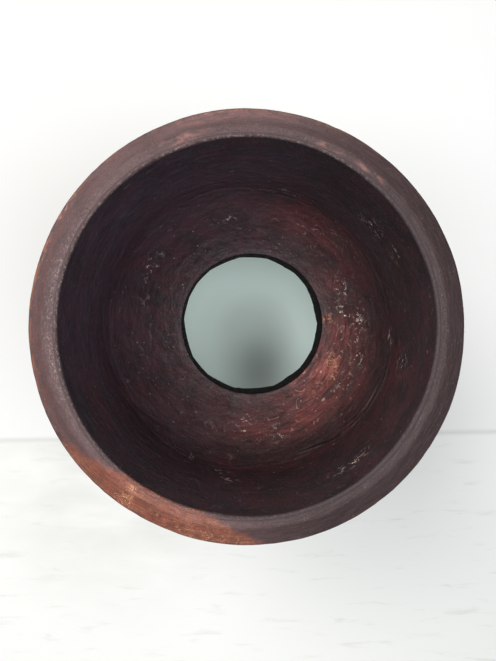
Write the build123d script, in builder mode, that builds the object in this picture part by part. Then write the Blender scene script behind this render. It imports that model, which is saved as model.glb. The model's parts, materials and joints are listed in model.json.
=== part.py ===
from build123d import *
import math
import os

os.makedirs("parts", exist_ok=True)

# Goblet drum shell (darbuka), hollowed and carved from one log, with no skin on it, so that it is
# open from its mouth down to its foot. Millimetres. +Z runs up the drum's axis, and the origin is
# the centre of the foot's flat face, on which the drum stands.
# The wood is one piece. It is given as four regions that meet face to face: the rim with its
# head band, the bowl, the throat and the foot. One section draws them all.

# Mouth: the wide end, over which a skin is stretched
total_height = 440.0  # foot's face to the flat of the rim
mouth_outer_radius = 140.0
rim_width = 20.0  # bowl's inside to the head band, across the rim
rim_land_width = 8.0  # flat part of the rim, beside the bowl
rim_fall = 7.0  # how far the bevel drops on its way out
rim_inner_round = 2.5
rim_bend_round = 6.0  # softens the bend between flat and bevel
rim_outer_round = 3.0
head_band_length = 26.0  # upright band outside, where a skin is lapped and tied

# Bowl: a steep side over a rounded bottom
bowl_depth = 215.0  # rim's flat to the throat's upper edge
bowl_bottom_height = 70.0  # height of the rounded bottom
bowl_side_taper = 9.0  # how much the side closes in on its way down
bowl_wall = 18.0  # wood round the rounded bottom

# Throat: the straight hole between the bowl and the foot
throat_radius = 60.0
throat_length = 46.0

# Waist and foot
waist_wall = 20.0  # narrowest outside, beyond the throat's radius
waist_drop = 34.0  # narrowest place, below the throat's lower edge
foot_outer_radius = 98.0
foot_ring_width = 16.0
foot_band_height = 12.0
foot_edge_round = 3.0

# Heights and radii that follow from them
mouth_inner_radius = mouth_outer_radius - rim_width
bevel_steepness = math.atan2(rim_width - rim_land_width, rim_fall)  # angle between bevel and band
bevel_end = total_height - rim_fall
head_band_top = bevel_end - rim_outer_round * math.tan(bevel_steepness / 2)
head_band_bottom = head_band_top - head_band_length
throat_top = total_height - bowl_depth
throat_bottom = throat_top - throat_length
foot_inner_radius = foot_outer_radius - foot_ring_width

# Corners of the section on the XZ plane, as radius and height
rim_inner_corner = Vector(mouth_inner_radius, total_height)
rim_bend_corner = Vector(mouth_inner_radius + rim_land_width, total_height)
rim_outer_corner = Vector(mouth_outer_radius, bevel_end)
band_corner = Vector(mouth_outer_radius, head_band_bottom)
side_corner = Vector(mouth_inner_radius - bowl_side_taper, throat_top + bowl_bottom_height)
throat_top_corner = Vector(throat_radius, throat_top)
throat_bottom_corner = Vector(throat_radius, throat_bottom)
waist_corner = Vector(throat_radius + waist_wall, throat_bottom - waist_drop)
foot_inner_corner = Vector(foot_inner_radius, 0)
foot_outer_corner = Vector(foot_outer_radius, 0)
foot_band_corner = Vector(foot_outer_radius, foot_band_height)


def meeting_with_circle(point, centre, radius):
    """Where an arc that leaves a point upright runs smoothly into a circle."""
    offset = point - centre
    arc_radius = (offset.length**2 - radius**2) / (2 * (radius - offset.X))
    direction = (offset + Vector(arc_radius, 0)).normalized()
    return centre + direction * math.copysign(radius, arc_radius)


# The whole shell, as one section turned about the axis
with BuildPart() as shell:
    with BuildSketch(Plane.XZ) as section:
        with BuildLine():
            # Inside: the bowl's side and bottom, the throat, and the foot's hollow
            bowl_side = Line(rim_inner_corner, side_corner)
            bowl_bottom = TangentArc(side_corner, throat_top_corner, tangent=bowl_side % 1)
            Polyline(throat_top_corner, throat_bottom_corner, foot_inner_corner, foot_outer_corner)
            # Outside, upwards: the foot's band and flare, the waist, and the bowl's bulge, whose
            # round part runs beside the inside at the bowl's wall
            Line(foot_outer_corner, foot_band_corner)
            TangentArc(waist_corner, foot_band_corner, tangent=(0, -1))
            round_centre = bowl_bottom.arc_center
            round_radius = bowl_bottom.radius + bowl_wall
            hollow_end = meeting_with_circle(waist_corner, round_centre, round_radius)
            TangentArc(waist_corner, hollow_end, tangent=(0, 1))
            side_end = meeting_with_circle(band_corner, round_centre, round_radius)
            bulge_side = TangentArc(band_corner, side_end, tangent=(0, -1))
            TangentArc(side_end, hollow_end, tangent=bulge_side % 1)
            # The head band, then the rim's bevel and flat
            Polyline(band_corner, rim_outer_corner, rim_bend_corner, rim_inner_corner)
        make_face()
        rounded_corners = (
            (rim_inner_corner, rim_inner_round),
            (rim_bend_corner, rim_bend_round),
            (rim_outer_corner, rim_outer_round),
            (foot_outer_corner, foot_edge_round),
        )
        for corner, radius in rounded_corners:
            fillet(section.vertices().sort_by_distance(corner)[0], radius)
    revolve(axis=Axis.Z)

# Levels where one region of the wood ends and the next begins
rim_level = Plane.XY.offset(head_band_bottom)
bowl_level = Plane.XY.offset(throat_top)
throat_level = Plane.XY.offset(throat_bottom)

# The rim that carries the skin, with the head band round it
with BuildPart() as mouth_rim:
    add(shell.part)
    split(bisect_by=rim_level, keep=Keep.TOP)
mouth_rim.part.label = "mouth_rim"
export_step(mouth_rim.part, "parts/mouth_rim.step")

# The bowl, from under the head band to the throat's upper edge
with BuildPart() as bowl:
    add(shell.part)
    split(bisect_by=rim_level, keep=Keep.BOTTOM)
    split(bisect_by=bowl_level, keep=Keep.TOP)
bowl.part.label = "bowl"
export_step(bowl.part, "parts/bowl.step")

# The throat, where the hole is straight
with BuildPart() as throat:
    add(shell.part)
    split(bisect_by=bowl_level, keep=Keep.BOTTOM)
    split(bisect_by=throat_level, keep=Keep.TOP)
throat.part.label = "throat"
export_step(throat.part, "parts/throat.step")

# The waist and the flared foot, hollow right through
with BuildPart() as foot:
    add(shell.part)
    split(bisect_by=throat_level, keep=Keep.BOTTOM)
foot.part.label = "foot"
export_step(foot.part, "parts/foot.step")

# What each region holds, and whether together they are the whole shell
regions = (mouth_rim, bowl, throat, foot)
for region in regions:
    print(f"{region.part.label}: {region.part.volume / 1000:.0f} cm3")
print(f"whole shell: {shell.part.volume / 1000:.0f} cm3")
print(f"head band: {head_band_bottom:.3f} to {head_band_top:.3f} mm up")
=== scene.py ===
import json
import math

import bpy
import numpy as np
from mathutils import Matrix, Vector


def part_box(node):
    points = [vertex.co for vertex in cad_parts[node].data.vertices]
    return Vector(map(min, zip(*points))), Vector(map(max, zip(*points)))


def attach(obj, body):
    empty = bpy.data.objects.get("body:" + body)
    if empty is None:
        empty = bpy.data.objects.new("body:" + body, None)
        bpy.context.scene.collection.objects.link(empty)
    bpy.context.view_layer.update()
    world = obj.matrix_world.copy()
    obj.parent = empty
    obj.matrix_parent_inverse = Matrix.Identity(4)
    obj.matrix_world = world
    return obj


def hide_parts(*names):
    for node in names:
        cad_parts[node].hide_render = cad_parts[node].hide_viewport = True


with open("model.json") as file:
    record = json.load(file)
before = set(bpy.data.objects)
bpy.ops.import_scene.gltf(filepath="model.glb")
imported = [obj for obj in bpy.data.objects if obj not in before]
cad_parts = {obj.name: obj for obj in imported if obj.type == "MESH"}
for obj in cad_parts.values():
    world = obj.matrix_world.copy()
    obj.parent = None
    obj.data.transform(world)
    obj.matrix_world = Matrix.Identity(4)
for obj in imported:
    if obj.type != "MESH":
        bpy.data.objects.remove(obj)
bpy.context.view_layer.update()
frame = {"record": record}  # metres, +Z up the drum's axis, origin in the middle of the foot's face
mm = 0.001


# small helpers


def linear(hexColour):
    # sRGB hex to the linear colour that a shader takes
    parts = [int(hexColour[i : i + 2], 16) / 255 for i in (1, 3, 5)]
    return [p / 12.92 if p <= 0.04045 else ((p + 0.055) / 1.055) ** 2.4 for p in parts] + [1.0]


def addNode(tree, kind, inputs=None, **settings):
    # adds a node, with its settings, and its sockets given as values or as links
    made = tree.nodes.new(kind)
    for name, value in settings.items():
        setattr(made, name, value)
    for socket, value in (inputs or {}).items():
        if isinstance(value, bpy.types.NodeSocket):
            tree.links.new(value, made.inputs[socket])
        else:
            made.inputs[socket].default_value = value
    return made


def limited(value, low, high, toLow=0.0, toHigh=1.0):
    # what a Map Range node takes: toLow where the value is low, toHigh where it is high
    return {"Value": value, "From Min": low, "From Max": high, "To Min": toLow, "To Max": toHigh}


def smoothStep(low, high, value):
    share = np.clip((value - low) / (high - low), 0, 1)
    return share * share * (3 - 2 * share)


def unit(vector):
    return vector / np.linalg.norm(vector)


def bell(value, middle, spread):
    # 1 in the middle, fading each side of it
    return np.exp(-0.5 * ((value - middle) / spread) ** 2)


# the drum's section, as the CAD has it

mounts = {m["name"]: m for m in frame["record"]["mounts"]}
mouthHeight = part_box("mouth_rim")[1].z
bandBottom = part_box("mouth_rim")[0].z
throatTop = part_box("throat")[1].z
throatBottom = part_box("throat")[0].z
mouthRadius = mounts["head_band"]["dims"]["r_mm"] * mm
throatRadius = mounts["throat_bore"]["dims"]["r_mm"] * mm
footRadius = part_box("foot")[1].x

section = {
    "rimWidth": 20.0 * mm,
    "rimLand": 8.0 * mm,
    "rimFall": 7.0 * mm,
    "innerRound": 2.5 * mm,
    "bendRound": 6.0 * mm,
    "outerRound": 3.0 * mm,
    "sideTaper": 9.0 * mm,
    "bottomHeight": 70.0 * mm,
    "bowlWall": 18.0 * mm,
    "waistWall": 20.0 * mm,
    "waistDrop": 34.0 * mm,
    "footRing": 16.0 * mm,
    "footBand": 12.0 * mm,
    "footRound": 3.0 * mm,
    "arris": 0.7 * mm,  # a carved edge is never quite sharp
    "roundPoints": 5,
    "arrisPoints": 3,
}
spacing = {  # between the rings of points, closest where the finish shows most
    "rimLand": 1.0 * mm,
    "rimBevel": 1.1 * mm,
    "bowlBottom": 1.8 * mm,
    "bowlSide": 2.4 * mm,
    "footBand": 3 * mm,
    "footFace": 3.2 * mm,
    "throat": 3.5 * mm,
    "headBand": 3.6 * mm,
    "outside": 5 * mm,
    "waist": 5.4 * mm,
    "footHollow": 11 * mm,
}


def line(start, end, gap):
    count = max(1, round(np.linalg.norm(end - start) / gap))
    return [start + (end - start) * i / count for i in range(count)]


def arc(start, end, heading, gap):
    # the arc that leaves start along heading and reaches end
    heading = unit(heading)
    side = np.array([-heading[1], heading[0]])
    chord = end - start
    turn = math.atan2(chord @ side, chord @ heading)
    radius = np.linalg.norm(chord) / (2 * math.sin(turn))
    count = max(2, round(abs(2 * turn * radius) / gap))
    turns = [2 * turn * i / count for i in range(count)]
    return [start + radius * (math.sin(a) * heading + (1 - math.cos(a)) * side) for a in turns]


def eased(before, corner, after, radius, count):
    # a corner rounded by that radius, and where the rounding starts and ends
    toBefore = unit(before - corner)
    toAfter = unit(after - corner)
    reach = radius / math.tan(math.acos(np.clip(toBefore @ toAfter, -1, 1)) / 2)
    first = corner + toBefore * reach
    last = corner + toAfter * reach
    shares = [i / count for i in range(count)]
    points = [(1 - t) ** 2 * first + 2 * t * (1 - t) * corner + t * t * last for t in shares]
    return points, first, last


def uprightMeeting(point, centre, radius):
    # where an arc that leaves point upright runs smoothly into a circle
    offset = point - centre
    arcRadius = (offset @ offset - radius**2) / (2 * (radius - offset[0]))
    return centre + unit(offset + np.array([arcRadius, 0])) * math.copysign(radius, arcRadius)


def drawSection():
    # the closed outline as (radius, height) points, from the rim down the inside, round the foot,
    # and up the outside
    s = section
    many = s["roundPoints"]
    few = s["arrisPoints"]
    mouthInner = mouthRadius - s["rimWidth"]
    rimInner = np.array([mouthInner, mouthHeight])
    rimBend = np.array([mouthInner + s["rimLand"], mouthHeight])
    rimOuter = np.array([mouthRadius, mouthHeight - s["rimFall"]])
    band = np.array([mouthRadius, bandBottom])
    side = np.array([mouthInner - s["sideTaper"], throatTop + s["bottomHeight"]])
    holeTop = np.array([throatRadius, throatTop])
    holeBottom = np.array([throatRadius, throatBottom])
    waist = np.array([throatRadius + s["waistWall"], throatBottom - s["waistDrop"]])
    footInner = np.array([footRadius - s["footRing"], 0.0])
    footOuter = np.array([footRadius, 0.0])
    footTop = np.array([footRadius, s["footBand"]])

    heading = unit(side - rimInner)
    inward = np.array([heading[1], -heading[0]])
    chord = holeTop - side
    roundRadius = (chord @ chord) / (2 * (chord @ inward))
    roundCentre = side + inward * roundRadius
    outsideRadius = roundRadius + s["bowlWall"]
    hollowEnd = uprightMeeting(waist, roundCentre, outsideRadius)
    sideEnd = uprightMeeting(band, roundCentre, outsideRadius)
    bottomArc = arc(side, holeTop, heading, spacing["bowlBottom"])
    upright = np.array([0.0, 1.0])

    innerEase, innerFirst, innerLast = eased(rimBend, rimInner, side, s["innerRound"], many)
    bendEase, bendFirst, bendLast = eased(rimOuter, rimBend, rimInner, s["bendRound"], many)
    outerEase, outerFirst, outerLast = eased(band, rimOuter, rimBend, s["outerRound"], many)
    topEase, _, topLast = eased(bottomArc[-1], holeTop, holeBottom, s["arris"], few)
    lowEase, lowFirst, lowLast = eased(holeTop, holeBottom, footInner, s["arris"], few)
    ringEase, ringFirst, ringLast = eased(holeBottom, footInner, footOuter, s["arris"], few)
    footEase, footFirst, footLast = eased(footInner, footOuter, footTop, s["footRound"], many)

    hollowArc = arc(waist, hollowEnd, upright, spacing["waist"])
    sideArc = arc(band, sideEnd, -upright, spacing["outside"])
    sideHeading = unit(sideEnd - sideArc[-1])
    roundArc = arc(sideEnd, hollowEnd, sideHeading, spacing["outside"])
    flareArc = arc(waist, footTop, -upright, spacing["waist"])
    parts = [
        ("rimEdge", innerEase),
        ("bowlSide", line(innerLast, side, spacing["bowlSide"])),
        ("bowlBottom", bottomArc),
        ("throat", topEase),
        ("throat", line(topLast, lowFirst, spacing["throat"])),
        ("throat", lowEase),
        ("footHollow", line(lowLast, ringFirst, spacing["footHollow"])),
        ("footFace", ringEase),
        ("footFace", line(ringLast, footFirst, spacing["footFace"])),
        ("footBand", footEase),
        ("footBand", line(footLast, footTop, spacing["footBand"])),
        ("outside", [footTop] + flareArc[:0:-1]),
        ("outside", hollowArc),
        ("outside", [hollowEnd] + roundArc[:0:-1]),
        ("outside", [sideEnd] + sideArc[:0:-1]),
        ("headBand", line(band, outerFirst, spacing["headBand"])),
        ("rim", outerEase),
        ("rim", line(outerLast, bendFirst, spacing["rimBevel"])),
        ("rim", bendEase),
        ("rim", line(bendLast, innerFirst, spacing["rimLand"])),
    ]
    points = np.array([p for _, stretch in parts for p in stretch])
    zones = [zone for zone, stretch in parts for _ in stretch]
    return points, zones


sectionPoints, sectionZones = drawSection()
ringCount = len(sectionPoints)
print("section:", ringCount, "rings", sorted(set(sectionZones)))

# the carved surface

bowlZones = ("bowlSide", "bowlBottom")
rimZones = ("rim", "rimEdge")
outsideZones = ("outside", "headBand", "footBand")
hollowZones = ("throat", "footHollow", "footFace")

carving = {
    "segments": 360,
    "holeShiftTop": (4.1 * mm, 3.4 * mm),  # the hole was cut a little off the axis
    "holeShiftBottom": (3.0 * mm, 4.4 * mm),
    "holeFlats": dict(count=15, size=0.7 * mm, seed=31),  # left by the chisel round the hole
    "holeFlatsAtTop": 0.35,  # how deep they are where the bowl meets the hole
    "bowlCut": dict(count=2300, length=46 * mm, width=9.5 * mm, depth=0.42 * mm, lean=7, seed=11),
    "cornerCut": dict(count=26, length=70 * mm, width=4.5 * mm, depth=0.9 * mm, lean=4, seed=15),
    "cornerAt": (146 * mm, 9 * mm),  # distance down the inside, and spread
    "outsideCut": dict(count=3400, length=54 * mm, width=15 * mm, depth=0.75 * mm, lean=84, seed=12),
    "hollowCut": dict(count=420, length=60 * mm, width=16 * mm, depth=0.9 * mm, lean=86, seed=13),
    "rimCut": dict(count=420, length=26 * mm, width=7 * mm, depth=0.16 * mm, lean=20, seed=14),
    "strokes": dict(lean=7, long=(0.6, 1.3), wide=(0.7, 1.25), deep=(0.45, 1.0)),  # how they differ
    "bowlWander": dict(orders=(2, 3, 5), size=0.5 * mm, seed=21),
    "outsideWander": dict(orders=(2, 3, 4), size=0.7 * mm, seed=22),
    "edgeWander": dict(orders=(3, 7, 11, 19, 31), size=0.35 * mm, seed=23),
    "outlineWander": 0.55 * mm,  # how far the outline is from a true circle
    "outlineWaves": dict(orders=(2, 3, 4, 6, 9, 13), turn=6.28, seed=24),  # each starts within a turn
    "fades": dict(bowl=3 * mm, outside=3 * mm, hollow=4 * mm, rim=1 * mm, throat=6 * mm, edge=5 * mm),
    "dents": [  # knocks: (direction in degrees, distance along the outline, across, depth)
        (119, 2.5 * mm, 5 * mm, 1.3 * mm),
        (105, 2.0 * mm, 4 * mm, 0.7 * mm),
        (88, 1.5 * mm, 5 * mm, 0.5 * mm),
        (4, 236 * mm, 5 * mm, 1.8 * mm),
        (-27, 235 * mm, 6 * mm, 1.2 * mm),
        (-25, 224 * mm, 5 * mm, 0.8 * mm),
        (5, 216 * mm, 5 * mm, 0.6 * mm),
    ],
    # slips of the gouge along the turn of the bowl, and a split in the rim: stops, across, depth
    "grooves": [
        ([(-8, 137), (-20, 134), (-31, 136), (-42, 133)], 5.0 * mm, 1.7 * mm),
        ([(-38, 141), (-50, 152), (-60, 163), (-68, 166)], 5.0 * mm, 1.6 * mm),
        ([(-22, 148), (-33, 150), (-47, 160)], 4.5 * mm, 1.2 * mm),
        ([(-124.5, 925), (-123.8, 932), (-124.2, 941)], 2.6 * mm, 0.6 * mm),
    ],
    "grooveSteps": 40,  # hollows that run together into one groove
    "grooveEnd": 0.15,  # radians of its taper left off each end
    # on the two outer edges, from being put down, and how hard each edge is hit
    "bruises": dict(count=36, across=6 * mm, depth=0.35 * mm, seed=16),
    "bruisedEdges": {"rim": 0.45, "footBand": 1.0},
}

segments = carving["segments"]
angles = np.arange(segments) * 2 * math.pi / segments
radii = sectionPoints[:, 0]
heights = sectionPoints[:, 1]
steps = np.linalg.norm(np.diff(sectionPoints, axis=0, append=sectionPoints[:1]), axis=1)
runs = np.concatenate([[0], np.cumsum(steps)[:-1]])  # distance along the outline, down the inside first
perimeter = runs[-1] + steps[-1]
tangents = np.roll(sectionPoints, -1, axis=0) - np.roll(sectionPoints, 1, axis=0)
tangents /= np.linalg.norm(tangents, axis=1)[:, None]
outward = np.stack([tangents[:, 1], -tangents[:, 0]], axis=1)  # out of the wood
pastInnerEdge = radii - mouthRadius + section["rimWidth"]
acrossRim = np.clip(pastInnerEdge / section["rimWidth"], 0, 1)  # 0 at the rim's inner edge, 1 at its outer


def inZones(*names):
    return np.array([zone in names for zone in sectionZones])


def zoneWeight(names, blend):
    # 1 in those stretches of the outline, fading over a distance past their ends
    inside = inZones(*names)
    apart = np.abs(runs[:, None] - runs[None, inside])
    apart = np.minimum(apart, perimeter - apart).min(axis=1)
    return 1 - smoothStep(0, blend, apart)


def wander(orders, size, seed):
    # a slow unevenness round the drum and along it, as tall as size
    draw = np.random.default_rng(seed)
    total = np.zeros((ringCount, segments))
    for order in orders:
        phase, twist = draw.uniform(0, 2 * math.pi, 2)
        reach = draw.uniform(0.12, 0.3)  # metres from wave to wave along the outline
        along = np.cos(2 * math.pi * runs / reach + twist) * 0.5 + 0.5
        total += np.outer(along, np.cos(order * angles + phase)) / math.sqrt(len(orders))
    return total * size


def toolCuts(zones, count, length, width, depth, lean, seed, aim=None):
    # overlapping shallow scoops, each as long and wide as one stroke of the tool, with ridges between them;
    # aim keeps them near one distance along the outline, within a spread
    draw = np.random.default_rng(seed)
    strokes = carving["strokes"]
    wanted = np.flatnonzero(inZones(*zones))
    chances = radii[wanted] * steps[wanted]
    if aim:
        chances = chances * bell(runs[wanted], *aim)
    rings = draw.choice(wanted, count, p=chances / chances.sum())
    cuts = np.zeros((ringCount, segments))
    for ring in rings:
        angle = draw.uniform(0, 2 * math.pi)
        turn = math.radians(lean + draw.normal(0, strokes["lean"]))
        long = length * draw.uniform(*strokes["long"]) / 2
        wide = width * draw.uniform(*strokes["wide"]) / 2
        deep = depth * draw.uniform(*strokes["deep"])
        near = np.flatnonzero(np.abs(runs - runs[ring]) < max(wide, long * abs(math.sin(turn)) + wide))
        reach = max(long * abs(math.cos(turn)) + wide, wide) / radii[ring]
        spread = int(reach / (2 * math.pi / segments)) + 1
        columns = (int(angle / (2 * math.pi) * segments) + np.arange(-spread, spread + 1)) % segments
        across = (angles[columns] - angle + math.pi) % (2 * math.pi) - math.pi
        along = across[None, :] * radii[near][:, None]
        down = (runs[near] - runs[ring])[:, None]
        u = along * math.cos(turn) + down * math.sin(turn)
        v = -along * math.sin(turn) + down * math.cos(turn)
        scoop = -deep * np.clip(1 - (u / long) ** 2 - (v / wide) ** 2, 0, None)
        block = np.ix_(near, columns)
        cuts[block] = np.minimum(cuts[block], scoop)
    return cuts


def chiselFlats(count, size, seed):
    # a ring of flats round the drum: 0 at the corners between them, -size in the middle of a wide one
    draw = np.random.default_rng(seed)
    widths = draw.uniform(0.6, 1.4, count)
    corners = np.concatenate([[0], np.cumsum(widths)]) * 2 * math.pi / widths.sum()
    flat = np.searchsorted(corners, angles, side="right") - 1
    middle = (corners[flat] + corners[flat + 1]) / 2
    half = (corners[flat + 1] - corners[flat]) / 2
    widest = (math.pi / count) ** 2
    return -size * (half**2 - (angles - middle) ** 2) / widest


def dents(places):
    # small round hollows
    cuts = np.zeros((ringCount, segments))
    for direction, down, across, depth in places:
        apart = (angles - math.radians(direction) + math.pi) % (2 * math.pi) - math.pi
        nearest = radii[np.argmin(np.abs(runs - down))]
        distance = np.hypot(apart[None, :] * nearest, (runs - down)[:, None]) / (across / 2)
        cuts = np.minimum(cuts, -depth * np.clip(1 - distance**2, 0, None))
    return cuts


def grooves():
    places = []
    count = carving["grooveSteps"]
    end = carving["grooveEnd"]
    for stops, across, depth in carving["grooves"]:
        directions, downs = np.array(stops).T
        along = np.linspace(0, len(stops) - 1, count)
        taper = np.sin(np.linspace(end, math.pi - end, count))
        for stop, share in zip(along, taper):
            direction = np.interp(stop, range(len(stops)), directions)
            down = np.interp(stop, range(len(stops)), downs) * mm
            places.append((direction, down, across * (0.6 + 0.4 * share), depth * share))
    return dents(places)


def bruises(count, across, depth, seed):
    draw = np.random.default_rng(seed)
    places = []
    for zone, force in carving["bruisedEdges"].items():
        edge = runs[inZones(zone)][2]
        for _ in range(count // 2):
            size = draw.uniform(0.6, 1.4)
            direction = draw.uniform(0, 360)
            down = edge + draw.normal(0, 1.5 * mm)
            places.append((direction, down, across * size, depth * size * force))
    return dents(places)


def carve():
    # how far each point of the surface stands proud of the section, in metres
    facts = carving
    fades = facts["fades"]
    proud = np.zeros((ringCount, segments))
    inside = zoneWeight(bowlZones, fades["bowl"])[:, None]
    outside = zoneWeight(outsideZones, fades["outside"])[:, None]
    hollow = zoneWeight(("footHollow",), fades["hollow"])[:, None]
    rim = zoneWeight(("rim",), fades["rim"])[:, None]
    throat = zoneWeight(("throat",), fades["throat"])[:, None]
    edge = zoneWeight(("rimEdge",), fades["edge"])[:, None]
    proud += toolCuts(bowlZones, **facts["bowlCut"]) * inside
    proud += toolCuts(outsideZones, **facts["outsideCut"]) * outside
    proud += toolCuts(("footHollow",), **facts["hollowCut"]) * hollow
    proud += toolCuts(("rim",), **facts["rimCut"]) * rim
    proud += wander(**facts["bowlWander"]) * inside
    proud += wander(**facts["outsideWander"]) * outside
    proud += toolCuts(bowlZones, **facts["cornerCut"], aim=facts["cornerAt"]) * inside
    proud += wander(**facts["edgeWander"]) * edge
    proud += dents(facts["dents"]) + slips + bruises(**facts["bruises"])
    down = np.clip((throatTop - heights) / (throatTop - throatBottom), 0, 1)[:, None]
    shallow = facts["holeFlatsAtTop"]
    proud += -chiselFlats(**facts["holeFlats"])[None, :] * throat * (shallow + (1 - shallow) * down)
    return proud


slips = grooves()
proud = carve()


def shellMesh():
    top = np.array(carving["holeShiftTop"])
    bottom = np.array(carving["holeShiftBottom"])
    inner = inZones("bowlSide", "bowlBottom", "throat", "footHollow")
    aboveHole = 1 - smoothStep(throatTop, throatTop + section["bottomHeight"], heights)
    belowHole = smoothStep(0, throatBottom, heights)
    share = np.clip((throatTop - heights) / (throatTop - throatBottom), 0, 1)[:, None]
    shift = (top * (1 - share) + bottom * share) * (aboveHole * belowHole * inner)[:, None]
    outerShare = acrossRim * inZones("rim")
    outerShare += inZones("outside", "headBand") * smoothStep(throatTop, bandBottom, heights)
    waves = carving["outlineWaves"]
    draw = np.random.default_rng(waves["seed"])
    phases = [draw.uniform(0, waves["turn"]) for _ in waves["orders"]]
    wobble = sum(np.cos(n * angles + phase) / math.sqrt(n) for n, phase in zip(waves["orders"], phases))
    outOfRound = np.outer(outerShare, wobble * carving["outlineWander"] / 2)
    radius = radii[:, None] + outward[:, :1] * proud + outOfRound
    height = heights[:, None] + outward[:, 1:] * proud
    x = radius * np.cos(angles) + shift[:, :1]
    y = radius * np.sin(angles) + shift[:, 1:]
    height = np.maximum(height, 0)
    points = np.stack([x, y, height], axis=-1).reshape(-1, 3)
    ring = np.arange(ringCount)[:, None]
    column = np.arange(segments)[None, :]
    after = (ring + 1) % ringCount
    beside = (column + 1) % segments
    corners = [(ring, column), (ring, beside), (after, beside), (after, column)]
    indices = np.broadcast_arrays(*[row * segments + place for row, place in corners])
    faces = np.stack(indices, axis=-1).reshape(-1, 4)
    mesh = bpy.data.meshes.new("carvedShell")
    mesh.from_pydata(points.tolist(), [], faces.tolist())
    mesh.polygons.foreach_set("use_smooth", np.ones(len(faces), bool))
    return mesh, faces


mesh, faces = shellMesh()
shell = bpy.data.objects.new("carved_shell", mesh)
bpy.context.scene.collection.objects.link(shell)
print("shell:", len(mesh.vertices), "points", len(faces), "faces")


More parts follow.
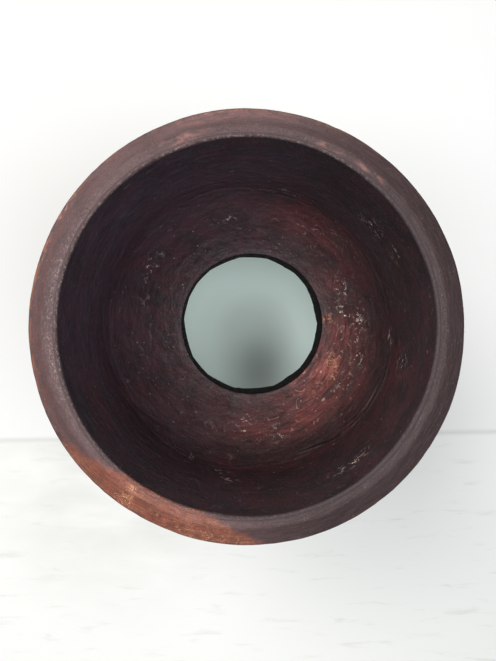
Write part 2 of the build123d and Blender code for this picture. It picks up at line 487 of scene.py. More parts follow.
# Where the wood is worn, cut and stained, and where light and shade are painted on it, as shares from 0 to 1
# stored on the points. Each is a list of places. Directions round the drum are in degrees, anticlockwise from
# +X as seen from above; distances run down the inside from the rim's inner edge, in mm.
wear = {
    # the stain rubbed through to warm red wood, partly painted light where the lamps fall on the bowl's
    # bottom: (direction, spread, distance, spread, strength)
    "scuffedAndLit": [
        (-38, 20, 223, 16, 1.2),
        (-52, 20, 205, 14, 0.85),
        (-84, 15, 205, 12, 0.5),
        (-8, 12, 219, 15, 0.8),
        (-30, 14, 184, 10, 0.45),
        (24, 12, 222, 11, 0.3),
        (58, 16, 192, 14, 0.55),
        (44, 14, 172, 12, 0.45),
    ],
    "wine": [  # where red shows through the dark stain
        (47, 13, 172, 15, 0.9),
        (74, 14, 162, 16, 0.75),
        (28, 9, 190, 14, 0.5),
        (-152, 10, 60, 20, 0.6),
        (-14, 9, 96, 22, 0.6),
        (-95, 12, 150, 10, 0.5),
        (-60, 14, 150, 9, 0.4),
    ],
    "violetAndPaintedFill": [  # a violet tone on the bowl's upper left: partly the stain's own bloom, partly painted fill light where the lamps leave that side in shade
        (140, 42, 80, 70, 1.0),
        (185, 30, 70, 80, 0.8),
        (90, 24, 100, 70, 0.7),
        (235, 22, 90, 70, 0.35),
    ],
    "dustAndSheen": [  # where the stain is greyed on the steep walls: partly a thin film of dust, partly a painted sheen
        (92, 40, 130, 45, 1.9),
        (185, 46, 120, 45, 1.1),
        (47, 26, 134, 32, 2.6),
        (0, 26, 142, 16, 0.9),
        (232, 22, 130, 22, 1.0),
    ],
    "bowlPaintedShade": [  # painted shade: dark patches on the bowl's bottom and side
        (135, 36, 222, 26, 1.1),
        (180, 30, 220, 22, 0.4),
        (-48, 24, 78, 34, 0.5),
    ],
    "flaked": [  # clusters of small pale chips
        (22, 3.4, 213, 4, 1.0),
        (6, 5.0, 216, 5, 1.0),
        (1, 6.0, 202, 5, 1.0),
        (-8, 3.0, 203, 4, 0.9),
        (-17, 4.0, 197, 4, 0.9),
        (-32, 3.4, 199, 4, 0.9),
        (-4, 2.6, 140, 6, 0.9),
        (-13, 2.6, 86, 8, 0.9),
        (40, 4.0, 84, 12, 0.9),
        (27, 2.2, 70, 8, 0.8),
        (-50, 3.0, 51, 6, 0.9),
        (-57, 2.4, 55, 5, 0.9),
        (-76, 3.0, 197, 5, 0.8),
        (-93, 3.0, 208, 6, 0.8),
        (-113, 1.6, 148, 5, 0.9),
        (-101, 2.2, 128, 7, 1.0),
        (-97, 1.8, 110, 8, 0.9),
        (101.5, 1.8, 201, 3, 0.6),
        (148, 4.0, 193, 4, 0.8),
        (75, 4.0, 150, 6, 0.7),
    ],
    "orange": [  # fresh splinters, down to clean wood
        (4, 2.0, 233, 3.5, 1.0),
        (-25, 3.4, 222, 4, 1.0),
        (-31, 4.5, 214, 3.5, 0.5),
        (-44, 4.0, 219, 3.5, 0.4),
    ],
    "rubbed": [  # the rim's outer edge, worn to orange wood: (direction, spread, strength)
        (-191, 11, 0.9),
        (-203, 6, 1.0),
        (-218, 9, 0.5),
        (-236, 9, 0.4),
        (-266, 3.5, 1.0),
        (-274, 10, 0.4),
        (-295, 13, 0.4),
        (-252, 5, 0.5),
        (-168, 9, 0.6),
        (-60, 20, 0.12),
    ],
    "blushed": [  # pinkish rubs beside the rim's inner edge, measured back from it
        (109, 3.5, -4, 2.2, 0.8),
        (99, 7, -13, 2, 0.4),
        (67, 1.4, -2.5, 1.4, 0.7),
        (62, 1.8, -3, 1.5, 0.8),
        (54, 1.5, -2.5, 1.2, 0.8),
        (48, 1.2, -3, 1.2, 0.6),
        (84, 6, -14, 2.2, 0.35),
        (-108, 10, -3, 2, 0.5),
    ],
    "paleAndLitSide": [(-40, 75, 1.0)],  # the side of the bowl's bottom that is palest: partly bare wood, partly painted light where the lamps fall
    "reddened": [(-170, 12, 0.6), (-253, 4, 0.6), (-228, 12, 0.25), (-268, 7, 0.4), (-205, 9, 0.3)],
    # painted shade: the end grain darker on the rim's side turned away from the lamps
    "rimPaintedShade": [(-8, 30, 0.95), (-45, 26, 0.9), (42, 24, 0.7), (80, 16, 0.2), (-78, 14, 0.3)],
    "frayed": [  # fibres broken out along the rim's outer edge
        (-190, 12, 1.0),
        (-212, 6, 0.8),
        (-228, 5, 0.6),
        (-262, 8, 1.0),
        (-284, 10, 0.4),
        (-150, 10, 0.6),
    ],
    "dried": [(90, 18, 1.0), (-92, 10, 0.4)],  # where the bevel is driest and palest
    "chalkAndSheen": [(-170, 12, 0.8), (-190, 11, 1.0), (-214, 12, 0.3)],  # a pale line round the rim: partly dry wood, partly a painted sheen on its lit side
    # the rim's inner arris paler: partly wear, partly a painted highlight
    "paleAndLitArris": [(-190, 30, 1.0), (-256, 22, 0.8), (-115, 22, 0.8), (-300, 16, 0.5), (-15, 26, 0.2)],
    # crazed sapwood
    "crackled": [(-103, 6, 1.0), (-93, 3, 0.7), (-113, 4, 0.6), (-125, 2.6, 1.0), (-150, 5, 0.7)],
    "handled": [  # rubbed by hands and knees: (height, reach, strength)
        (mouthHeight - 4 * mm, 7 * mm, 0.9),
        (mouthHeight - 0.36 * (mouthHeight - throatBottom), 34 * mm, 0.35),
        (throatBottom - 20 * mm, 40 * mm, 0.5),
        (3 * mm, 9 * mm, 0.9),
    ],
    "check": (-125, 1.1),  # a short split across the sapwood
}

leastWear = {"bottom": 0.14, "crackled": 0.25, "reddened": 0.35, "rimPaintedShade": 0.9}  # each share's least
bottomFade = (-45 * mm, 60 * mm)  # from the turn into the bowl's bottom
rimBands = {  # where wear lies across the rim, from its inner edge at 0 to its outer edge at 1
    "inner": (0.52, 0.28),  # from none to full
    "outer": (0.40, 0.75),
    "edge": (0.84, 1.0),
    "outermost": (0.93, 1.0),
    "bloom": (0.24, 0.06),  # middle and spread
    "faintBloom": (0.45, 0.08),
    "arris": (0.045, 0.035),
    "brink": (0.90, 0.05),
}


def roundShare(direction, spread):
    # 1 in one direction round the drum, fading each side of it
    apart = (np.degrees(angles) - direction + 180) % 360 - 180
    return bell(apart, 0, spread)


def patches(name):
    total = np.zeros((ringCount, segments))
    for direction, spread, down, reach, strength in wear[name]:
        apart = (runs - down * mm + perimeter / 2) % perimeter - perimeter / 2
        along = bell(apart, 0, reach * mm)
        total = np.maximum(total, strength * np.outer(along, roundShare(direction, spread)))
    return total


def sectors(name):
    return np.clip(sum(strength * roundShare(*place) for *place, strength in wear[name]), 0, 1)


def blurred(field, rings, columns):
    # mean over a patch of neighbours, along the outline and round the drum
    result = field.copy()
    for axis, count in ((0, rings), (1, columns)):
        result = sum(np.roll(result, shift, axis) for shift in range(-count, count + 1)) / (2 * count + 1)
    return result


def storeOnPoints(name, values, kind="FLOAT"):
    attribute = mesh.attributes.new(name, kind, "POINT")
    key = "value" if kind == "FLOAT" else "vector"
    attribute.data.foreach_set(key, np.ascontiguousarray(values, np.float32).ravel())


def handledShare():
    share = np.zeros(ringCount)
    for height, reach, strength in wear["handled"]:
        share = np.maximum(share, strength * bell(heights, height, reach))
    return share * inZones(*outsideZones)


def storeWear():
    inBowl = inZones(*bowlZones)
    onRim = inZones("rim")
    onRimOrEdge = inZones(*rimZones)
    for name in ("scuffedAndLit", "wine", "violetAndPaintedFill", "dustAndSheen", "bowlPaintedShade", "flaked", "orange"):
        storeOnPoints(name, patches(name) * inZones(*bowlZones, "throat")[:, None])
    storeOnPoints("blushed", patches("blushed") * onRimOrEdge[:, None])
    # the bowl's bottom paler than its steep sides, most on one side: partly the wood's tone, partly painted
    # light on the slopes that face the lamps
    bottomRun = runs[sectionZones.index("bowlBottom")]
    bottom = smoothStep(bottomRun + bottomFade[0], bottomRun + bottomFade[1], runs) * inBowl
    outerBand = smoothStep(*rimBands["outer"], acrossRim)
    outermost = smoothStep(*rimBands["outermost"], acrossRim) * onRim
    innerBand = smoothStep(*rimBands["inner"], acrossRim) * onRim
    bloom = bell(acrossRim, *rimBands["bloom"]) + 0.35 * bell(acrossRim, *rimBands["faintBloom"])
    arris = bell(acrossRim, *rimBands["arris"]) * (heights > mouthHeight - 2 * mm)
    # where the rim turns over into the bowl and takes its stain
    turnedIn = smoothStep(2.6 * mm, -1.2 * mm, pastInnerEdge) * onRimOrEdge * 0.6
    turnedIn = np.where(inZones("rimEdge"), smoothStep(-2 * mm, 3 * mm, runs) * 0.4 + 0.6, turnedIn)
    everywhere = np.ones(segments)

    def atLeast(name, field):
        return leastWear[name] + (1 - leastWear[name]) * field

    products = {  # name: (share along the outline, share round the drum)
        "bottom": (bottom, atLeast("bottom", sectors("paleAndLitSide"))),
        "innerBand": (innerBand, 1 - 0.85 * sectors("rimPaintedShade")),
        "outermost": (outermost, everywhere),
        "rubbed": (smoothStep(*rimBands["edge"], acrossRim), sectors("rubbed")),
        "frayed": (bell(acrossRim, *rimBands["brink"]), sectors("frayed")),
        "reddened": (atLeast("reddened", outerBand), sectors("reddened")),
        "rimPaintedShade": (atLeast("rimPaintedShade", outerBand), sectors("rimPaintedShade")),
        "dried": (outerBand, sectors("dried")),
        "chalkAndSheen": (bloom * onRim, sectors("chalkAndSheen")),
        "crackled": (atLeast("crackled", outerBand), sectors("crackled")),
        "turnedIn": (turnedIn, 1 - 0.6 * sectors("paleAndLitArris")),
        "paleAndLitArris": (arris, sectors("paleAndLitArris")),
        "check": (onRim, roundShare(*wear["check"])),
        "handled": (handledShare(), everywhere),
    }
    for name, (along, around) in products.items():
        storeOnPoints(name, np.outer(along, around))
    # painted shade inside the gouge slips, and a painted highlight along their lower edge
    slipDepth = 0.8 * mm
    storeOnPoints("paintedGrooveShade", np.clip(-slips / slipDepth, 0, 1))
    besideSlip = np.clip(-np.roll(slips, -2, axis=0) / slipDepth, 0, 1)
    storeOnPoints("paintedGrooveHighlight", besideSlip * (slips > -0.1 * mm))
    ridgeHeight = 0.2 * mm
    ridges = (proud - blurred(proud, 2, 3)) / ridgeHeight
    storeOnPoints("ridge", np.clip(ridges * 0.5 + 0.5, 0, 1))
    # coordinates for marks that follow the tool: round the drum at a middle radius, and along the outline
    middleRadius = 0.1
    toolPath = np.zeros((ringCount, segments, 3))
    toolPath[:, :, 0] = middleRadius * np.cos(angles)
    toolPath[:, :, 1] = middleRadius * np.sin(angles)
    toolPath[:, :, 2] = runs[:, None]
    storeOnPoints("toolPath", toolPath, "FLOAT_VECTOR")


storeWear()
print("wear stored:", [a.name for a in mesh.attributes if a.domain == "POINT"])


# wood


def newMaterial(name):
    material = bpy.data.materials.new(name)
    material.use_nodes = True
    tree = material.node_tree
    return material, tree, tree.nodes["Principled BSDF"]


def marks(tree, grain, low, high, follow="wood", seed=0.0, detail=2.0, rough=0.5, warp=0.0, vein=False):
    # a share from 0 to 1 that varies over that grain size in mm, along the wood's x, y, z or the tool's path;
    # as a vein it is 1 along the thin lines where the noise crosses its middle
    if follow == "tool":
        source = addNode(tree, "ShaderNodeAttribute", attribute_name="toolPath").outputs["Vector"]
    else:
        source = addNode(tree, "ShaderNodeTexCoord").outputs["Object"]
    start = (seed, seed * 0.7, seed * 1.3)
    place = {"Vector": source, "Location": start, "Scale": [g * mm for g in grain]}
    placed = addNode(tree, "ShaderNodeMapping", place, vector_type="TEXTURE").outputs[0]
    wave = {"Vector": placed, "Scale": 1.0, "Detail": detail, "Roughness": rough, "Distortion": warp}
    value = addNode(tree, "ShaderNodeTexNoise", wave).outputs["Fac"]
    if vein:
        middle = addNode(tree, "ShaderNodeMath", {0: value, 1: 0.5}, operation="SUBTRACT").outputs[0]
        value = addNode(tree, "ShaderNodeMath", {0: middle}, operation="ABSOLUTE").outputs[0]
    limits = limited(value, low, high)
    return addNode(tree, "ShaderNodeMapRange", limits, interpolation_type="SMOOTHSTEP").outputs["Result"]


def together(tree, *shares):
    # shares multiplied, each a link or a number
    result = shares[0]
    for share in shares[1:]:
        result = addNode(tree, "ShaderNodeMath", {0: result, 1: share}, operation="MULTIPLY").outputs[0]
    return result


def layered(tree, base, layers):
    # colours laid over a base colour one after another, each as thick as its share
    result = linear(base)
    for share, hexColour in layers:
        inputs = {0: share, 6: result, 7: linear(hexColour)}
        result = addNode(tree, "ShaderNodeMix", inputs, data_type="RGBA").outputs[2]
    return result


def relief(tree, shader, parts):
    # one bump from several shares, each as deep as its figure in mm
    total = 0.0
    for share, depth in parts:
        inputs = {0: share, 1: depth * mm, 2: total}
        total = addNode(tree, "ShaderNodeMath", inputs, operation="MULTIPLY_ADD").outputs[0]
    bump = addNode(tree, "ShaderNodeBump", {"Height": total, "Distance": 1.0, "Strength": 1.0})
    tree.links.new(bump.outputs["Normal"], shader.inputs["Normal"])


sapwood = {
    "direction": -116.5,
    "edge": 121.6 * mm,
    "blur": 3.6 * mm,
    "ragged": 6 * mm,
    "raggedness": dict(grain=(11, 11, 70), low=0.2, high=0.8, seed=3.1, detail=4, rough=0.6),
}


def sapwoodShare(tree, blur):
    # 1 in the pale outer wood of the log, past a growth ring that lies across one side of the drum
    facts = sapwood
    place = addNode(tree, "ShaderNodeTexCoord").outputs["Object"]
    towards = math.radians(facts["direction"])
    compass = (math.cos(towards), math.sin(towards), 0)
    inputs = {0: place, 1: compass}
    reach = addNode(tree, "ShaderNodeVectorMath", inputs, operation="DOT_PRODUCT").outputs["Value"]
    inputs = {0: marks(tree, **facts["raggedness"]), 1: facts["ragged"], 2: reach}
    moved = addNode(tree, "ShaderNodeMath", inputs, operation="MULTIPLY_ADD").outputs[0]
    limits = limited(moved, facts["edge"] - blur, facts["edge"] + blur)
    return addNode(tree, "ShaderNodeMapRange", limits, interpolation_type="SMOOTHSTEP").outputs["Result"]


def finish(facts):
    # a wood from its facts. A layer is a colour and the shares that are multiplied to lay it on; relief is
    # a depth in mm and its shares. A share is a number, a pattern, or wear stored on the points.
    material, tree, shader = newMaterial(facts["name"])
    colours = facts["colours"]
    shares = {name: marks(tree, **pattern) for name, pattern in facts["patterns"].items()}
    if "sapBlur" in facts:
        shares["sap"] = sapwoodShare(tree, facts["sapBlur"])

    def share(part):
        if isinstance(part, str) and part not in shares:
            shares[part] = addNode(tree, "ShaderNodeAttribute", attribute_name=part).outputs["Fac"]
        return shares.get(part, part)

    def product(parts):
        return together(tree, *[share(part) for part in parts])

    for name, (source, *limits) in facts.get("remapped", {}).items():
        remap = addNode(tree, "ShaderNodeMapRange", limited(share(source), *limits))
        shares[name] = remap.outputs["Result"]
    layers = [(product(parts), colours[colour]) for colour, *parts in facts["layers"]]
    tree.links.new(layered(tree, colours[facts["base"]], layers), shader.inputs["Base Color"])
    relief(tree, shader, [(product(parts), depth) for depth, *parts in facts["relief"]])
    shader.inputs["Roughness"].default_value = facts["roughness"]
    shader.inputs["Specular IOR Level"].default_value = facts["specular"]
    return material


# heartwood cut across the grain with a gouge, then blackened by stain and hands: dull, in soft dark clouds,
# with fine rings from the tool that show most where the stain is rubbed through
# its colours also hold painted light: fill on the upper left, a paler lit bottom, highlights along the
# grooves, and painted shade in dark patches
gougedBowl = {
    "name": "gougedStainedHeartwood",
    "base": "side",
    "colours": {
        "side": "#372a2f",
        "violetAndPaintedFill": "#56485d",
        "bottom": "#4f3f40",
        "dark": "#1f1619",
        "wine": "#682f36",
        "wearAndPaintedLight": "#8b4c4b",
        "warm": "#c66f66",
        "ash": "#57474a",
        "haze": "#6d5a60",
        "dust": "#8b7772",
        "curl": "#c9a392",
        "flake": "#f0ded2",
        "splinter": "#dd9a78",
    },
    "patterns": {
        "fine": dict(grain=(22, 22, 1.4), low=0.36, high=0.66, follow="tool", seed=1.0, detail=3, warp=0.35),
        "bands": dict(grain=(40, 40, 7.0), low=0.35, high=0.65, follow="tool", seed=2.0, detail=4, warp=0.3),
        "clouds": dict(
            grain=(20, 20, 22), low=0.34, high=0.68, follow="tool",
            seed=4.0, detail=5, rough=0.62, warp=0.4,
        ),
        "wineClouds": dict(
            grain=(19, 19, 24), low=0.40, high=0.62, follow="tool",
            seed=6.0, detail=5, rough=0.62, warp=0.5,
        ),
        "grit": dict(grain=(2.4, 2.4, 2.4), low=0.42, high=0.72, seed=5.0, detail=3),
        "rubs": dict(grain=(24, 24, 6.0), low=0.26, high=0.62, follow="tool", seed=7.0, detail=4, warp=0.3),
        "warm": dict(grain=(20, 20, 3.6), low=0.40, high=0.74, follow="tool", seed=8.0, detail=4, warp=0.4),
        "chips": dict(grain=(3.4, 3.4, 3.4), low=0.07, high=0.03, seed=20.0, detail=1, warp=0.8, vein=True),
        "chipPatches": dict(grain=(4.2, 4.2, 4.2), low=0.55, high=0.59, seed=21.0, detail=2),
        "splinters": dict(
            grain=(3.4, 3.4, 3.4), low=0.48, high=0.58, seed=22.0,
            detail=5, rough=0.7, warp=0.4,
        ),
        "ash": dict(
            grain=(16, 16, 9), low=0.48, high=0.70, follow="tool",
            seed=24.0, detail=5, rough=0.65, warp=0.3,
        ),
        "lumps": dict(grain=(9, 9, 9), low=0.2, high=0.8, seed=25.0, detail=4, rough=0.6),
        "lone": dict(grain=(2.1, 2.1, 2.1), low=0.755, high=0.78, seed=23.0, detail=1),
        "curls": dict(grain=(8, 8, 8), low=0.04, high=0.012, seed=9.0, detail=0, warp=0.6, vein=True),
        "curlPatches": dict(grain=(6, 6, 6), low=0.58, high=0.62, seed=13.0, detail=1),
        "hairs": dict(grain=(11, 11, 11), low=0.03, high=0.012, seed=10.0, detail=0, warp=0.4, vein=True),
        "hairPatches": dict(grain=(11, 11, 11), low=0.60, high=0.68, seed=14.0, detail=2),
    },
    "layers": [
        # partly painted fill light: the bowl's upper left lightened to violet
        ("violetAndPaintedFill", "violetAndPaintedFill", 0.75),
        # partly painted light: the paler bottom of the bowl
        ("bottom", "bottom", 0.9),
        ("dark", "clouds", 0.55),
        # painted shade on the bowl
        ("dark", "bowlPaintedShade", 0.6),
        ("wine", "wineClouds", 0.22),
        ("wine", "wine", "wineClouds"),
        # partly painted light: the rubbed-through red and its warmest tone, strongest on the bowl's lit lower
        # right
        ("wearAndPaintedLight", "scuffedAndLit", "rubs", 0.95),
        ("warm", "scuffedAndLit", "scuffedAndLit", "warm", 0.9),
        ("ash", "ash", "bottom", 0.55),
        ("dark", "bands", 0.12),
        ("dark", "fine", 0.09),
        # partly painted sheen: a grey film over the steep walls, partly dust
        ("haze", "dustAndSheen", 0.2),
        ("dark", "scuffedAndLit", "fine", 0.42),
        ("dust", "grit", "bottom", 0.10),
        ("dust", "hairs", "hairPatches", 0.4),
        ("curl", "scuffedAndLit", "curls", "curlPatches", 0.9),
        # painted shade inside the grooves
        ("dark", "paintedGrooveShade", 0.9),
        # painted highlight along the grooves' lower edge
        ("dust", "paintedGrooveHighlight", "rubs", 0.8),
        ("splinter", "orange", "splinters", 0.95),
        ("dust", "flaked", "chipPatches", 0.18),
        ("flake", "flaked", "chipPatches", "chips"),
        ("flake", "lone", 0.35),
    ],
    "relief": [
        (-0.055, "fine"),
        (-0.08, "bands"),
        (0.08, "grit"),
        (0.8, "lumps"),
        (-0.3, "flaked", "chipPatches", "chips"),
        (-0.05, "curls"),
    ],
    "roughness": 0.52,
    "specular": 0.35,
}

# end grain, sawn, rasped and rubbed by skins and hands: matt, mauve-brown and finely pored, drier and paler
# towards its inner edge, with an orange patch of sapwood
# its colours also hold painted shade on the side away from the lamps, and painted sheen and highlights near
# its inner edge
endGrainRim = {
    "name": "raspedEndGrain",
    "base": "wood",
    "colours": {
        "wood": "#533d3e",
        "inner": "#624b4c",
        "dark": "#362627",
        "stain": "#2c1e20",
        "pale": "#6b5354",
        "red": "#6f3e37",
        "sapwood": "#885041",
        "sapwoodDark": "#54322b",
        "sapwoodRed": "#854436",
        "fibre": "#cf9470",
        "rubbed": "#a5694c",
        "dry": "#897073",
        "blush": "#a07068",
        "edge": "#cc957d",
        "chalk": "#a89a97",
        "bowl": gougedBowl["colours"]["side"],
    },
    "sapBlur": sapwood["blur"],
    "remapped": {"notSap": ("sap", 0.0, 1.0, 1.0, 0.4)},
    "patterns": {
        "pores": dict(grain=(1.0, 1.0, 8), low=0.55, high=0.72, seed=1.5, detail=1),
        "mottle": dict(grain=(6, 6, 20), low=0.32, high=0.68, seed=2.5, detail=4, rough=0.65),
        "rasped": dict(grain=(9, 9, 0.9), low=0.40, high=0.70, follow="tool", seed=3.5, detail=2, warp=0.3),
        "cloud": dict(grain=(30, 30, 5), low=0.38, high=0.64, follow="tool", seed=4.5, detail=3),
        "specks": dict(grain=(1.5, 1.5, 1.5), low=0.64, high=0.74, seed=5.5, detail=2),
        "patchy": dict(grain=(7, 7, 2.6), low=0.40, high=0.64, follow="tool", seed=6.5, detail=4, rough=0.6),
        "dry": dict(
            grain=(1.7, 1.7, 1.1), low=0.48, high=0.66, follow="tool",
            seed=7.5, detail=4, rough=0.65,
        ),
        "streaks": dict(
            grain=(18, 18, 2.2), low=0.40, high=0.62, follow="tool",
            seed=8.5, detail=4, warp=0.3,
        ),
        "frays": dict(
            grain=(3.2, 3.2, 1.2), low=0.54, high=0.70, follow="tool",
            seed=11.5, detail=4, rough=0.7, warp=0.5,
        ),
        "crackle": dict(
            grain=(2.4, 2.4, 2.4), low=0.038, high=0.012, seed=9.5,
            detail=1, warp=0.9, vein=True,
        ),
        "crazed": dict(grain=(7, 7, 7), low=0.38, high=0.60, seed=10.5, detail=3),
    },
    "layers": [
        ("inner", "innerBand", 0.4),
        ("dark", "mottle", 0.42),
        ("pale", "cloud", 0.3),
        ("red", "reddened", "patchy", 0.9),
        # painted shade on the rim's side away from the lamps
        ("stain", "rimPaintedShade", 0.9),
        ("pale", "rasped", 0.22),
        ("dry", "dried", 0.3),
        ("sapwood", "sap"),
        ("sapwoodRed", "sap", "cloud", 0.9),
        ("sapwoodDark", "sap", "mottle", 0.6),
        ("sapwoodDark", "sap", "streaks", 0.3),
        ("fibre", "sap", "rasped", 0.16),
        ("fibre", "sap", "crackle", "crazed", "crackled", 0.9),
        ("fibre", "sap", "check", "crackle"),
        ("fibre", "sap", "check", "patchy", 0.35),
        ("dark", "pores", 0.4),
        ("chalk", "specks", 0.16),
        ("rubbed", "rubbed", "patchy", 0.95),
        ("stain", "outermost", "notSap", 0.6),
        ("edge", "frayed", "frays", 0.85),
        # partly painted sheen: the pale line on the rim's lit side
        ("chalk", "chalkAndSheen", "dry", 0.55),
        ("bowl", "turnedIn", "notSap"),
        ("blush", "blushed", "patchy", 0.85),
        # partly painted highlight along the rim's inner arris
        ("chalk", "paleAndLitArris", "dry", 0.5),
    ],
    "relief": [(-0.10, "pores"), (0.12, "mottle"), (0.05, "rasped"), (-0.04, "crackle"), (0.05, "specks")],
    "roughness": 0.62,
    "specular": 0.4,
}

# long grain, shaped with an adze, scraped, stained and handled: satin, with long dark pores and rubbed ridges
adzedSide = {
    "name": "adzedStainedHeartwood",
    "base": "wood",
    "colours": {
        "wood": "#4a3430",
        "dark": "#261a1a",
        "red": "#66392f",
        "pale": "#775a50",
        "sapwood": "#93573f",
        "sapwoodDark": "#613a2b",
        "handled": "#7d4f3d",
        "rubbed": "#8c5f4b",
    },
    "sapBlur": sapwood["blur"] * 2,
    "remapped": {"high": ("ridge", 0.52, 1.0, 0.0, 1.0), "low": ("ridge", 0.46, 0.2, 0.0, 1.0)},
    "patterns": {
        "grainLines": dict(grain=(2.2, 2.2, 90), low=0.38, high=0.66, seed=1.2, detail=3),
        "pores": dict(grain=(0.7, 0.7, 12), low=0.6, high=0.72, seed=2.2, detail=1),
        "bands": dict(grain=(14, 14, 260), low=0.35, high=0.65, seed=3.2, detail=3),
        "cloud": dict(grain=(45, 45, 70), low=0.38, high=0.64, seed=4.2, detail=3),
        "speck": dict(grain=(3, 3, 5), low=0.55, high=0.72, seed=5.2, detail=3),
        "scratches": dict(grain=(9, 9, 26), low=0.022, high=0.008, seed=8.2, detail=1, warp=0.4, vein=True),
        "rubPatches": dict(grain=(16, 16, 34), low=0.40, high=0.70, seed=6.2, detail=5, rough=0.7),
        "handPatches": dict(grain=(9, 9, 26), low=0.36, high=0.66, seed=7.2, detail=5, rough=0.65),
        "scratchPatches": dict(grain=(14, 14, 30), low=0.54, high=0.64, seed=9.2, detail=2),
    },
    "layers": [
        ("red", "bands", 0.55),
        ("dark", "grainLines", 0.55),
        ("dark", "cloud", 0.5),
        ("sapwood", "sap", 0.8),
        ("sapwoodDark", "sap", "bands", 0.6),
        ("sapwoodDark", "sap", "grainLines", 0.35),
        ("pale", "speck", 0.2),
        ("dark", "pores", 0.6),
        ("dark", "low", 0.35),
        ("handled", "handled", "handPatches", 0.6),
        ("rubbed", "high", "rubPatches", 0.5),
        ("pale", "scratches", "scratchPatches", 0.2),
    ],
    "relief": [(-0.1, "pores"), (-0.08, "grainLines"), (0.04, "speck")],
    "roughness": 0.5,
    "specular": 0.4,
}

# the hole and the foot's hollow, chiselled along the grain and never finished: rough and nearly black
roughHollow = {
    "name": "roughCutHeartwood",
    "base": "wood",
    "colours": {"wood": "#1d1313", "dark": "#0d0808", "red": "#3a2320"},
    "patterns": {
        "grainLines": dict(grain=(2.5, 2.5, 40), low=0.4, high=0.65, seed=1.7, detail=3),
        "cloud": dict(grain=(20, 20, 30), low=0.4, high=0.65, seed=2.7, detail=3),
    },
    "layers": [("red", "cloud", 0.5), ("dark", "grainLines", 0.7)],
    "relief": [(-0.25, "grainLines")],
    "roughness": 0.85,
    "specular": 0.25,
}

zoneFinishes = [
    (bowlZones, gougedBowl),
    (rimZones, endGrainRim),
    (outsideZones, adzedSide),
    (hollowZones, roughHollow),
]
materialOfRing = np.zeros(ringCount, int)
for index, (zones, facts) in enumerate(zoneFinishes):
    mesh.materials.append(finish(facts))
    materialOfRing[inZones(*zones)] = index
mesh.polygons.foreach_set("material_index", np.repeat(materialOfRing, segments))
print("wood:", [m.name for m in mesh.materials])

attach(shell, "root")
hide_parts("mouth_rim", "bowl", "throat", "foot")

# floor, light and camera

stage = {
    "floor": {
        "size": 12.0,
        "seam": -118 * mm,  # how far the seam runs from the drum's axis
        "seamTurn": -1.0,
        "seamWidth": (4 * mm, 0.5 * mm),  # where its shade starts and is full, either side of it
        "roughness": 0.7,
        "scuffs": dict(grain=(55, 9, 20), low=0.56, high=0.74, seed=31.0, detail=5, rough=0.6, warp=0.4),
        "paintedShadowBlotches": dict(grain=(90, 40, 20), low=0.10, high=0.75, seed=33.0, detail=3, warp=0.3),
        "board": "#eeeeec",
        "sheet": "#ececec",
        "scuff": "#dedfdb",
        "line": "#cdcfcc",
        "shadeAndGlowUnderFoot": "#dcebe6",  # painted shade: a faint grey-green tint on the floor inside the foot
        # painted glow: the floor inside the foot gives off a little light, though it is no lamp
        "paintedGlow": "#e2f7f0",
        "paintedGlowStrength": 0.24,
        "paintedGlowRing": (20 * mm, 58 * mm),  # it gains between these distances from the middle
        "beneathEdge": (94 * mm, 78 * mm),  # under the foot's ring
        # painted shadow: a soft grey patch on the board at the drum's lower left, broken up by blotches
        "wearAndPaintedLight": "#d4d5d1",
        "paintedShadowPatchAt": (-0.15, -0.17, 0),
        "paintedShadowPatchSize": (0.2, 0.2, 1.0),
        # painted shadow: a dark grey-green oval on the floor inside the foot
        "paintedShadow": "#808a88",
        "paintedShadowAt": (14 * mm, -37 * mm, 0),
        "paintedShadowSize": (60 * mm, 88 * mm, 1.0),
    },
    "worldColour": "#f4f6f6",
    "worldStrength": 0.21,
    "lights": {
        "front": dict(place=(0.0, -0.12, 2.4), size=(2.3, 0.7), power=33, colour="#f6fafa"),
        "lamp": dict(place=(-0.42, 0.55, 2.3), size=(0.6, 0.6), power=11, colour="#fffbf7"),
        "window": dict(place=(-1.3, 1.25, 1.55), size=(1.8, 1.8), power=27, colour="#fffaf4"),
        "fill": dict(place=(0.8, -0.7, 2.0), size=(1.0, 1.0), power=7.5, colour="#f4f8ff"),
    },
    "cameraHeight": 0.60,  # above the mouth
    "cameraShift": (0.8 * mm, -2.3 * mm),
    "lens": 51.7,
    "sensor": 36,
}


def spotShare(tree, place, at, size):
    # 1 in the middle of an oval patch, fading to 0 at its edge
    inputs = {"Vector": place, "Location": at, "Scale": size}
    local = addNode(tree, "ShaderNodeMapping", inputs, vector_type="TEXTURE").outputs[0]
    apart = addNode(tree, "ShaderNodeVectorMath", {0: local}, operation="LENGTH").outputs["Value"]
    limits = limited(apart, 1.0, 0.0)
    return addNode(tree, "ShaderNodeMapRange", limits, interpolation_type="SMOOTHSTEP").outputs["Result"]


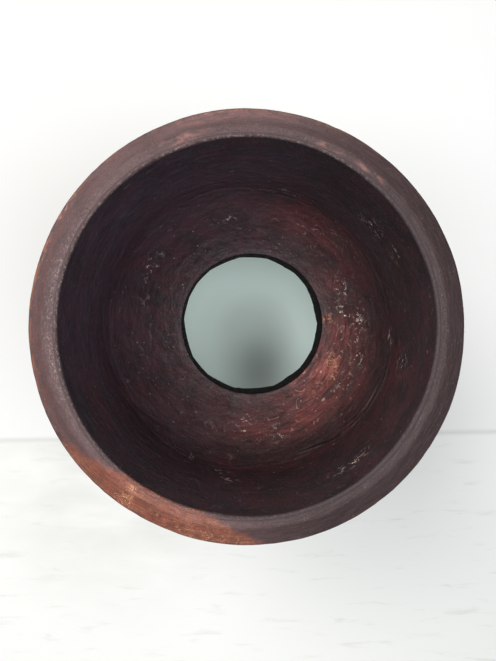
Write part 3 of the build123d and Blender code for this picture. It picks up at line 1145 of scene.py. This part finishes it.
def floor():
    # a white-painted board below, and a matt white sheet that starts at a seam beside the drum; inside the
    # foot the floor carries painted shade, a painted shadow and a painted glow, and a painted shadow lies on
    # the board at the drum's lower left
    facts = stage["floor"]
    half = facts["size"] / 2
    corners = [(-half, -half, 0), (half, -half, 0), (half, half, 0), (-half, half, 0)]
    ground = bpy.data.meshes.new("paleFloor")
    ground.from_pydata(corners, [], [(0, 1, 2, 3)])
    made = bpy.data.objects.new("pale_floor", ground)
    bpy.context.scene.collection.objects.link(made)
    material, tree, shader = newMaterial("whitePaintedBoard")
    place = addNode(tree, "ShaderNodeTexCoord").outputs["Object"]
    turn = {"Vector": place, "Angle": math.radians(facts["seamTurn"])}
    alongSeam = addNode(tree, "ShaderNodeVectorRotate", turn, rotation_type="Z_AXIS").outputs[0]
    apart = addNode(tree, "ShaderNodeSeparateXYZ", {0: alongSeam}).outputs["Y"]
    offset = addNode(tree, "ShaderNodeMath", {0: apart, 1: facts["seam"]}, operation="SUBTRACT").outputs[0]
    reach = addNode(tree, "ShaderNodeMath", {0: offset}, operation="ABSOLUTE").outputs[0]
    seamLine = addNode(tree, "ShaderNodeMapRange", limited(reach, *facts["seamWidth"])).outputs["Result"]
    sheet = addNode(tree, "ShaderNodeMapRange", limited(offset, -1 * mm, 1 * mm)).outputs["Result"]
    below = addNode(tree, "ShaderNodeVectorMath", {0: place}, operation="LENGTH").outputs["Value"]
    # the floor inside the foot, which takes painted shade and a painted glow
    shadeAndGlowUnderFoot = addNode(tree, "ShaderNodeMapRange", limited(below, *facts["beneathEdge"])).outputs["Result"]
    # painted shadow: a dark oval on the floor inside the foot, seen through the hole
    paintedShadow = spotShare(tree, place, facts["paintedShadowAt"], facts["paintedShadowSize"])
    scuffs = marks(tree, **facts["scuffs"])
    # painted shadow: a soft grey patch on the board at the drum's lower left
    wearAndPaintedLight = spotShare(tree, place, facts["paintedShadowPatchAt"], facts["paintedShadowPatchSize"])
    paintedShadowBlotches = marks(tree, **facts["paintedShadowBlotches"])
    layers = [
        (together(tree, scuffs, 0.8), facts["scuff"]),
        # painted shadow on the board beside the drum
        (together(tree, wearAndPaintedLight, paintedShadowBlotches, 0.9), facts["wearAndPaintedLight"]),
        (sheet, facts["sheet"]),
        (together(tree, seamLine, 0.6), facts["line"]),
        # painted shade: the floor inside the foot tinted grey-green
        (shadeAndGlowUnderFoot, facts["shadeAndGlowUnderFoot"]),
        # painted shadow: the dark oval inside the foot
        (together(tree, shadeAndGlowUnderFoot, paintedShadow, 0.56), facts["paintedShadow"]),
    ]
    tree.links.new(layered(tree, facts["board"], layers), shader.inputs["Base Color"])
    # painted glow: light given off by the floor inside the foot, more towards the foot's ring and less under
    # the painted shadow
    outsidePaintedShadow = addNode(tree, "ShaderNodeMath", {0: 1.0, 1: paintedShadow}, operation="SUBTRACT").outputs[0]
    limits = limited(below, *facts["paintedGlowRing"], toLow=0.5)
    edgeGain = addNode(tree, "ShaderNodeMapRange", limits).outputs["Result"]
    paintedGlow = layered(tree, "#000000", [(together(tree, shadeAndGlowUnderFoot, outsidePaintedShadow, edgeGain), facts["paintedGlow"])])
    tree.links.new(paintedGlow, shader.inputs["Emission Color"])
    shader.inputs["Emission Strength"].default_value = facts["paintedGlowStrength"]
    shader.inputs["Roughness"].default_value = facts["roughness"]
    ground.materials.append(material)


def lights():
    target = Vector((0, 0, mouthHeight / 2))
    world = bpy.data.worlds.new("paleRoom")
    world.use_nodes = True
    background = world.node_tree.nodes["Background"]
    background.inputs["Color"].default_value = linear(stage["worldColour"])
    background.inputs["Strength"].default_value = stage["worldStrength"]
    bpy.context.scene.world = world
    for name, facts in stage["lights"].items():
        lamp = bpy.data.lights.new(name, "AREA")
        lamp.shape = "ELLIPSE"
        lamp.size, lamp.size_y = facts["size"]
        lamp.energy = facts["power"]
        lamp.color = linear(facts["colour"])[:3]
        made = bpy.data.objects.new(name, lamp)
        made.location = facts["place"]
        made.rotation_euler = (target - made.location).to_track_quat("-Z", "Y").to_euler()
        made.visible_camera = False
        bpy.context.scene.collection.objects.link(made)


def camera():
    lens = bpy.data.cameras.new("camera")
    lens.lens = stage["lens"]
    lens.sensor_width = stage["sensor"]
    made = bpy.data.objects.new("camera", lens)
    made.location = (*stage["cameraShift"], mouthHeight + stage["cameraHeight"])  # looks straight down
    bpy.context.scene.collection.objects.link(made)
    bpy.context.scene.camera = made


floor()
lights()
camera()
bpy.context.scene.view_settings.view_transform = "Standard"
print("stage: floor,", len(stage["lights"]), "lights and a camera")
